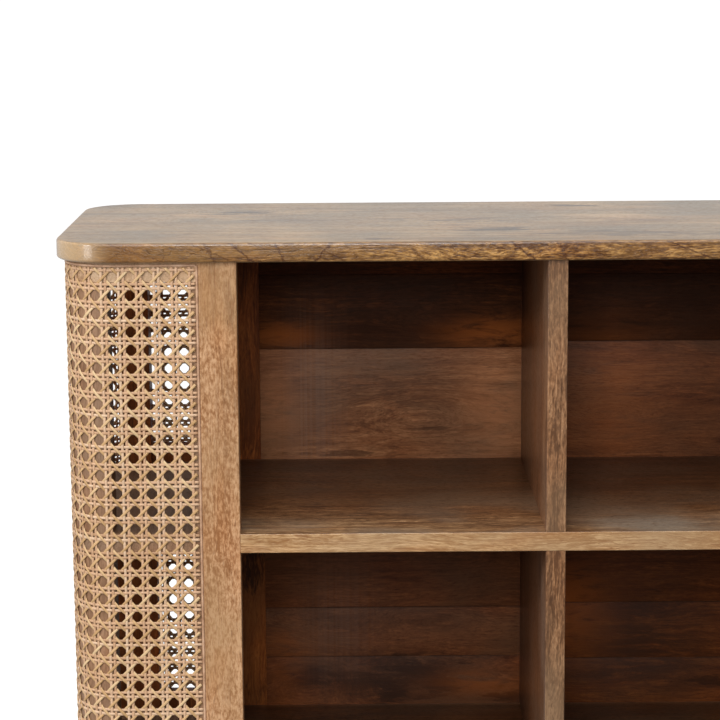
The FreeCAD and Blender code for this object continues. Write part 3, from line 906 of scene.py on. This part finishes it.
def dress_boards():
    """The top and the base: rounded boards whose rims are a second, livelier material."""
    low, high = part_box("top_board")
    knots = tuple(knot("top_board", *facts, level=True) for facts in TOP_KNOTS)
    lively = Figure(wild=0.3, bend=2.2, contrast=1.7, mottle=1.4, dash=110, veins=0.8, cracks=0.5)
    # the rim's paler front corners are a painted reflection of a bright lamp at the left front; the dark
    # splits are real marks
    edge = wood("wood_top_edge", "top_edge", "X", 13, figure=lively, finish=Finish(0.26, 0.55, 0.5, 0.13),
                tints=((painted_corner_sheen, high, 60 * MM, srgb(214, 186, 148)),
                       (cross_splits, low, high, TOP_SPLITS, srgb(72, 35, 11))))
    top = wood("wood_top", "top", "X", 11, knots=knots, figure=Figure(wild=0.3, contrast=1.4),
               finish=Finish(0.32, 0.3, 0.45))
    base = wood("wood_base", "shelf", "X", 12, figure=Figure(contrast=1.4, mottle=0.6), finish=SATIN)
    for name, face in (("top", top), ("base", base)):
        mesh = rounded_board_mesh(name, *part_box(name + "_board"))
        piece = add_piece(name, mesh, face, "wood_top", name + "_board")
        piece.data.materials.append(edge)
        for polygon in mesh.polygons:
            polygon.material_index = int(abs(polygon.normal.z) < 0.75)


BACK_KNOTS = {
    # row and side: along and up as fractions, length and height in mm, lift, heart
    (1, "left"): ((0.60, 0.21, 58, 24, -1.1, 0.0), (0.63, 0.155, 36, 4, 1.0, 0.7),
                  (0.07, 0.055, 50, 6, 1.2, 0.8), (0.33, 0.055, 46, 6, 1.2, 0.8),
                  (0.68, 0.60, 60, 16, 1.2, 0.0)),
    (1, "right"): ((0.30, 0.2, 50, 18, 1.0, 0.0), (0.75, 0.1, 26, 6, 1.2, 0.7)),
    (2, "left"): ((0.47, 0.08, 56, 24, 1.4, 1.0), (0.55, 0.19, 80, 20, 1.2, 0.9),
                  (0.70, 0.1, 80, 14, 1.2, 0.8), (0.17, 0.14, 45, 24, -1.4, 0.6),
                  (0.3, 0.37, 80, 24, 1.2, 0.4), (0.6, 0.38, 60, 16, -1.2, 0.4),
                  (0.9, 0.06, 60, 12, 1.2, 0.9)),
    (2, "right"): ((0.35, 0.42, 60, 16, 1.2, 0.4), (0.2, 0.16, 60, 16, 1.2, 0.6),
                   (0.7, 0.12, 40, 12, 1.2, 0.8)),
}
# The pale patches and row 1's two orange patches just above its lowest joint are painted light; the dark
# patches on the lower boards are painted shade.
BACK_PATCHES = {
    # row and side: along and up as fractions, half width and height in mm, strength, colour
    (1, "left"): ((0.19, 0.25, 34, 90, 0.35, HAZE), (0.55, 0.28, 80, 46, 0.5, SHADE),
                  (0.08, 0.54, 40, 14, 0.6, GLOW), (0.86, 0.55, 56, 18, 0.65, GLOW),
                  (0.88, 0.25, 40, 60, 0.5, LIT_PATCH), (0.05, 0.25, 28, 60, 0.45, LIT_PATCH)),
    (1, "right"): ((0.3, 0.3, 60, 80, 0.3, GLOW), (0.66, 0.3, 60, 60, 0.4, SHADE)),
    (2, "left"): ((0.28, 0.35, 40, 90, 0.16, HAZE), (0.5, 0.14, 110, 32, 0.9, SHADE),
                  (0.84, 0.12, 60, 16, 0.4, GLOW), (0.5, 0.85, 220, 44, 0.35, LIT_PATCH),
                  (0.06, 0.2, 24, 60, 0.3, GLOW)),
    (2, "right"): ((0.14, 0.42, 46, 60, 0.85, GLOW), (0.45, 0.25, 90, 80, 0.8, SHADE)),
}
BACK_LOOKS = {(1, "left"): "back", (1, "right"): "back_row", (2, "left"): "back_row"}
BACK_FIGURE = Figure(contrast=1.2, mottle=0.35, veins=0.45, edge_lift=1.0)
JOINT_SHADE = (260, 0.8, 1.0, SHADE)  # a thin dark patch along each joint, in BACK_PATCHES' terms


def dress_back():
    """Back boards with eased edges, so that their joints show; the top row's upper boards are darker."""
    draw = random.Random(5)
    for row in ROWS:
        for side in SIDES:
            node = "back_panel_%d_%s" % (row, side)
            low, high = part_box(node)
            levels = board_levels(node)
            boards = [((low.x, low.y, z0), (high.x, high.y, z1), draw.random())
                      for z0, z1 in zip(levels, levels[1:])]
            knots = tuple(knot(node, *facts) for facts in BACK_KNOTS.get((row, side), ()))
            joints = [(0.5, (level - low.z) / (high.z - low.z)) + JOINT_SHADE for level in levels[1:-1]]
            tints = ((patchy, low, high, BACK_PATCHES.get((row, side), ()) + tuple(joints)),)
            seed = side == "left"
            material = wood("wood_" + node, "back_rear", "X", 30 + row * 2 + seed, True, knots, BACK_FIGURE,
                            edge=BACK_LOOKS.get((row, side), "back_red"), tints=tints)
            first_dark = 1 if row == 1 else len(boards)
            mesh = boards_mesh(node, boards[:first_dark])
            add_piece("back_boards_%d_%s" % (row, side), mesh, material, "wood_back", node)
            if boards[first_dark:]:
                dark = wood("wood_dark_" + side, "back_rear", "X", 70 + seed, True, knots, BACK_FIGURE,
                            Finish(0.45, 0.0, 0.1), edge="back_dark", tints=tints)
                mesh = boards_mesh(node + "_upper", boards[first_dark:])
                add_piece("back_boards_upper_" + side, mesh, dark, "wood_back", node)


def board_levels(node):
    """Heights of the joints in a node of stacked boards, from the corners on its front face."""
    low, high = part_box(node)
    corners = [vert.co for vert in frame["nodes"][node].data.vertices]
    front = [corner for corner in corners if abs(corner.y - low.y) < 1e-6]
    spans = {}
    for corner in front:
        spans.setdefault(round(corner.z, 5), []).append(corner.x)
    return sorted(z for z, row in spans.items() if max(row) - min(row) > 0.9 * (high.x - low.x))


def node_material(node, number):
    """The material of a CAD node that is shown as it is, by its slot; made once where nodes share it."""
    slot = slots[node]
    if slot == "wood_inside":
        # grey sets how strongly the inside faces' front strip is painted light
        look, grain, dash, grey = ("divider", "Z", 150, 0.55) if node.startswith("divider") else (
            "shelf", "X", 90, 0.95)
        return wood("wood_" + node, look, grain, 50 + number, finish=SATIN, edge=look + "_edge",
                    figure=Figure(bend=1.5, contrast=1.4, mottle=0.6, dash=dash),
                    tints=((lit_front_shaded_back, *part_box(node), grey),))
    if slot == "wood_edges":
        return wood("wood_" + node, "stile", "Z", 50 + number,
                    figure=Figure(wild=0.15, bend=0.9, contrast=1.15, mottle=1.6, dash=170, veins=0.45))
    if slot == "wood_back":
        stain = (knot(node, 0.6, 0.72, 110, 26, 0.6, 0.95),) if "_2_" in node else ()
        return wood("wood_" + node, "back_rear", "Z", 50 + number, knots=stain,
                    figure=Figure(contrast=1.3, edge_lift=1.0), edge="rear_stile")
    key = frame_wood(node) if slot == "wood_frame" else (slot,)
    if key not in shared:
        shared[key] = shared_material(*key)
    return shared[key]


def frame_wood(node):
    """The look and grain of a piece behind the cane: dark at the rear, pale in an end's top board."""
    if "rear" in node:
        return "frame_dark", "Z"
    if node.startswith("end_board"):
        return "frame_pale" if "top" in node else "frame", "Y"
    return "frame", "Z"


def shared_material(slot, grain=None):
    """A material for several nodes, by slot; the wood behind the cane comes by look and grain."""
    if grain:
        return wood("wood_%s_%s" % (slot, grain), slot, grain, 90, figure=Figure(bend=0.6, contrast=0.8))
    if slot == "wood_legs":
        return wood("wood_legs", "top", "Z", 93, figure=Figure(contrast=0.9), finish=SATIN)
    if slot == "dowel_wood":
        return wood("wood_dowels", "frame", "X", 95, figure=Figure(bend=0.3, contrast=0.6))
    if slot == "plate_steel":
        return coated_material("black_coat", srgb(38, 36, 35), 0.45, 1800)
    if slot == "glide_plastic":
        return coated_material("glide_nylon", srgb(44, 40, 38), 0.5, 1200)
    return steel_material()


def dress_nodes():
    """Materials for the CAD nodes that are shown as they are."""
    replaced = ("top_board", "base_board", "back_panel", "cane_panel", "cane_spline")
    for number, (node, piece) in enumerate(sorted(frame["nodes"].items())):
        if node.startswith(replaced):
            continue
        piece.data.materials.clear()
        piece.data.materials.append(node_material(node, number))


# --- stage ---
LAMPS = (
    # name, place, point that it aims at, size, power in watts
    ("key", (-2.7, -1.75, 2.1), (-0.2, 0, 0.8), (0.8, 0.8), 31),
    ("fill", (-0.35, -3.5, 2.05), (-0.2, 0, 0.7), (1.0, 1.0), 37),
    ("side", (-2.5, -1.9, 0.95), (-0.5, -0.15, 1.0), (0.8, 1.1), 14),
    ("right", (2.7, 0.5, 1.0), (0.5, 0, 0.6), (1.0, 1.2), 26),
)
FLOOR_REACH = 400.0


def area_light(name, place, aim, size, power):
    data = bpy.data.lights.new(name, "AREA")
    data.shape = "RECTANGLE"
    data.size, data.size_y = size
    data.energy = power
    lamp = add_object(name, data)
    lamp.location = place
    lamp.rotation_euler = (Vector(aim) - Vector(place)).to_track_quat("-Z", "Y").to_euler()


def set_sky():
    """Light that is bright behind the cabinet and dim in front; the camera sees plain white instead."""
    nodes = Nodes("studio", world=True)
    way = nodes.part(nodes.add("TexCoord").outputs["Generated"], "Y")
    depth = nodes.add("MapRange", {"Value": way, "From Min": -0.5, "From Max": 0.7, "To Min": 0.2,
                                   "To Max": 0.68}, interpolation_type="SMOOTHSTEP")
    seen = nodes.add("LightPath").outputs["Is Camera Ray"]
    strength = nodes.add("Mix", {"Factor": seen, "A": depth.outputs["Result"], "B": 0.97})
    nodes.fill(nodes.shader, {"Strength": strength.outputs["Result"], "Color": (1, 1, 1, 1)})
    bpy.context.scene.world = nodes.block


def set_floor():
    """A pale floor that reaches to the horizon and gives a little light of its own."""
    floor_mesh = bpy.data.meshes.new("floor")
    corners = [(x * FLOOR_REACH, y * FLOOR_REACH, 0) for x, y in ((-1, -1), (1, -1), (1, 1), (-1, 1))]
    floor_mesh.from_pydata(corners, [], [(0, 1, 2, 3)])
    floor = add_object("floor", floor_mesh)
    nodes = Nodes("floor")
    nodes.fill(nodes.shader, {"Base Color": (0.9, 0.9, 0.9, 1), "Roughness": 0.8, "Specular IOR Level": 0.1,
                              "Emission Color": (1, 1, 1, 1), "Emission Strength": 0.25})
    floor_mesh.materials.append(nodes.block)
    floor.visible_diffuse = False
    floor.visible_glossy = False


def set_lights():
    """A white studio, a soft sun overhead and four soft lamps."""
    set_sky()
    overhead = bpy.data.lights.new("overhead", "SUN")
    overhead.energy = 1.85
    overhead.angle = math.radians(50)
    lamp = add_object("overhead", overhead)
    lamp.rotation_euler = (math.radians(34), math.radians(-8), 0)
    for facts in LAMPS:
        area_light(*facts)
    bpy.context.scene.view_settings.view_transform = "Standard"


def set_camera():
    """A long lens just above the top, looking a little down, with the cabinet's left half in view."""
    data = bpy.data.cameras.new("camera")
    data.sensor_width = 36.0
    data.lens = 114.76
    camera = add_object("camera", data)
    camera.location = (-0.2076, -2.4356, 1.3116)
    camera.rotation_euler = (math.radians(90 - 10.07), 0, math.radians(-0.25))
    camera.rotation_euler.rotate_axis("Z", math.radians(-0.36))
    bpy.context.scene.camera = camera


shared = {}
slots = {part["node"]: part["material_slot"] for part in frame["record"]["subparts"]}
cane = cane_material()
reed = spline_material()
# the groove's dark colour is painted shade, the shadow in the crevice beside the reed
groove = coated_material("groove_painted_shade", srgb(52, 32, 20), 0.6, 700)
for side in SIDES:
    weave(side, cane)
    spline_loop(side, reed, groove)
dress_boards()
dress_back()
dress_nodes()
set_floor()
set_lights()
set_camera()
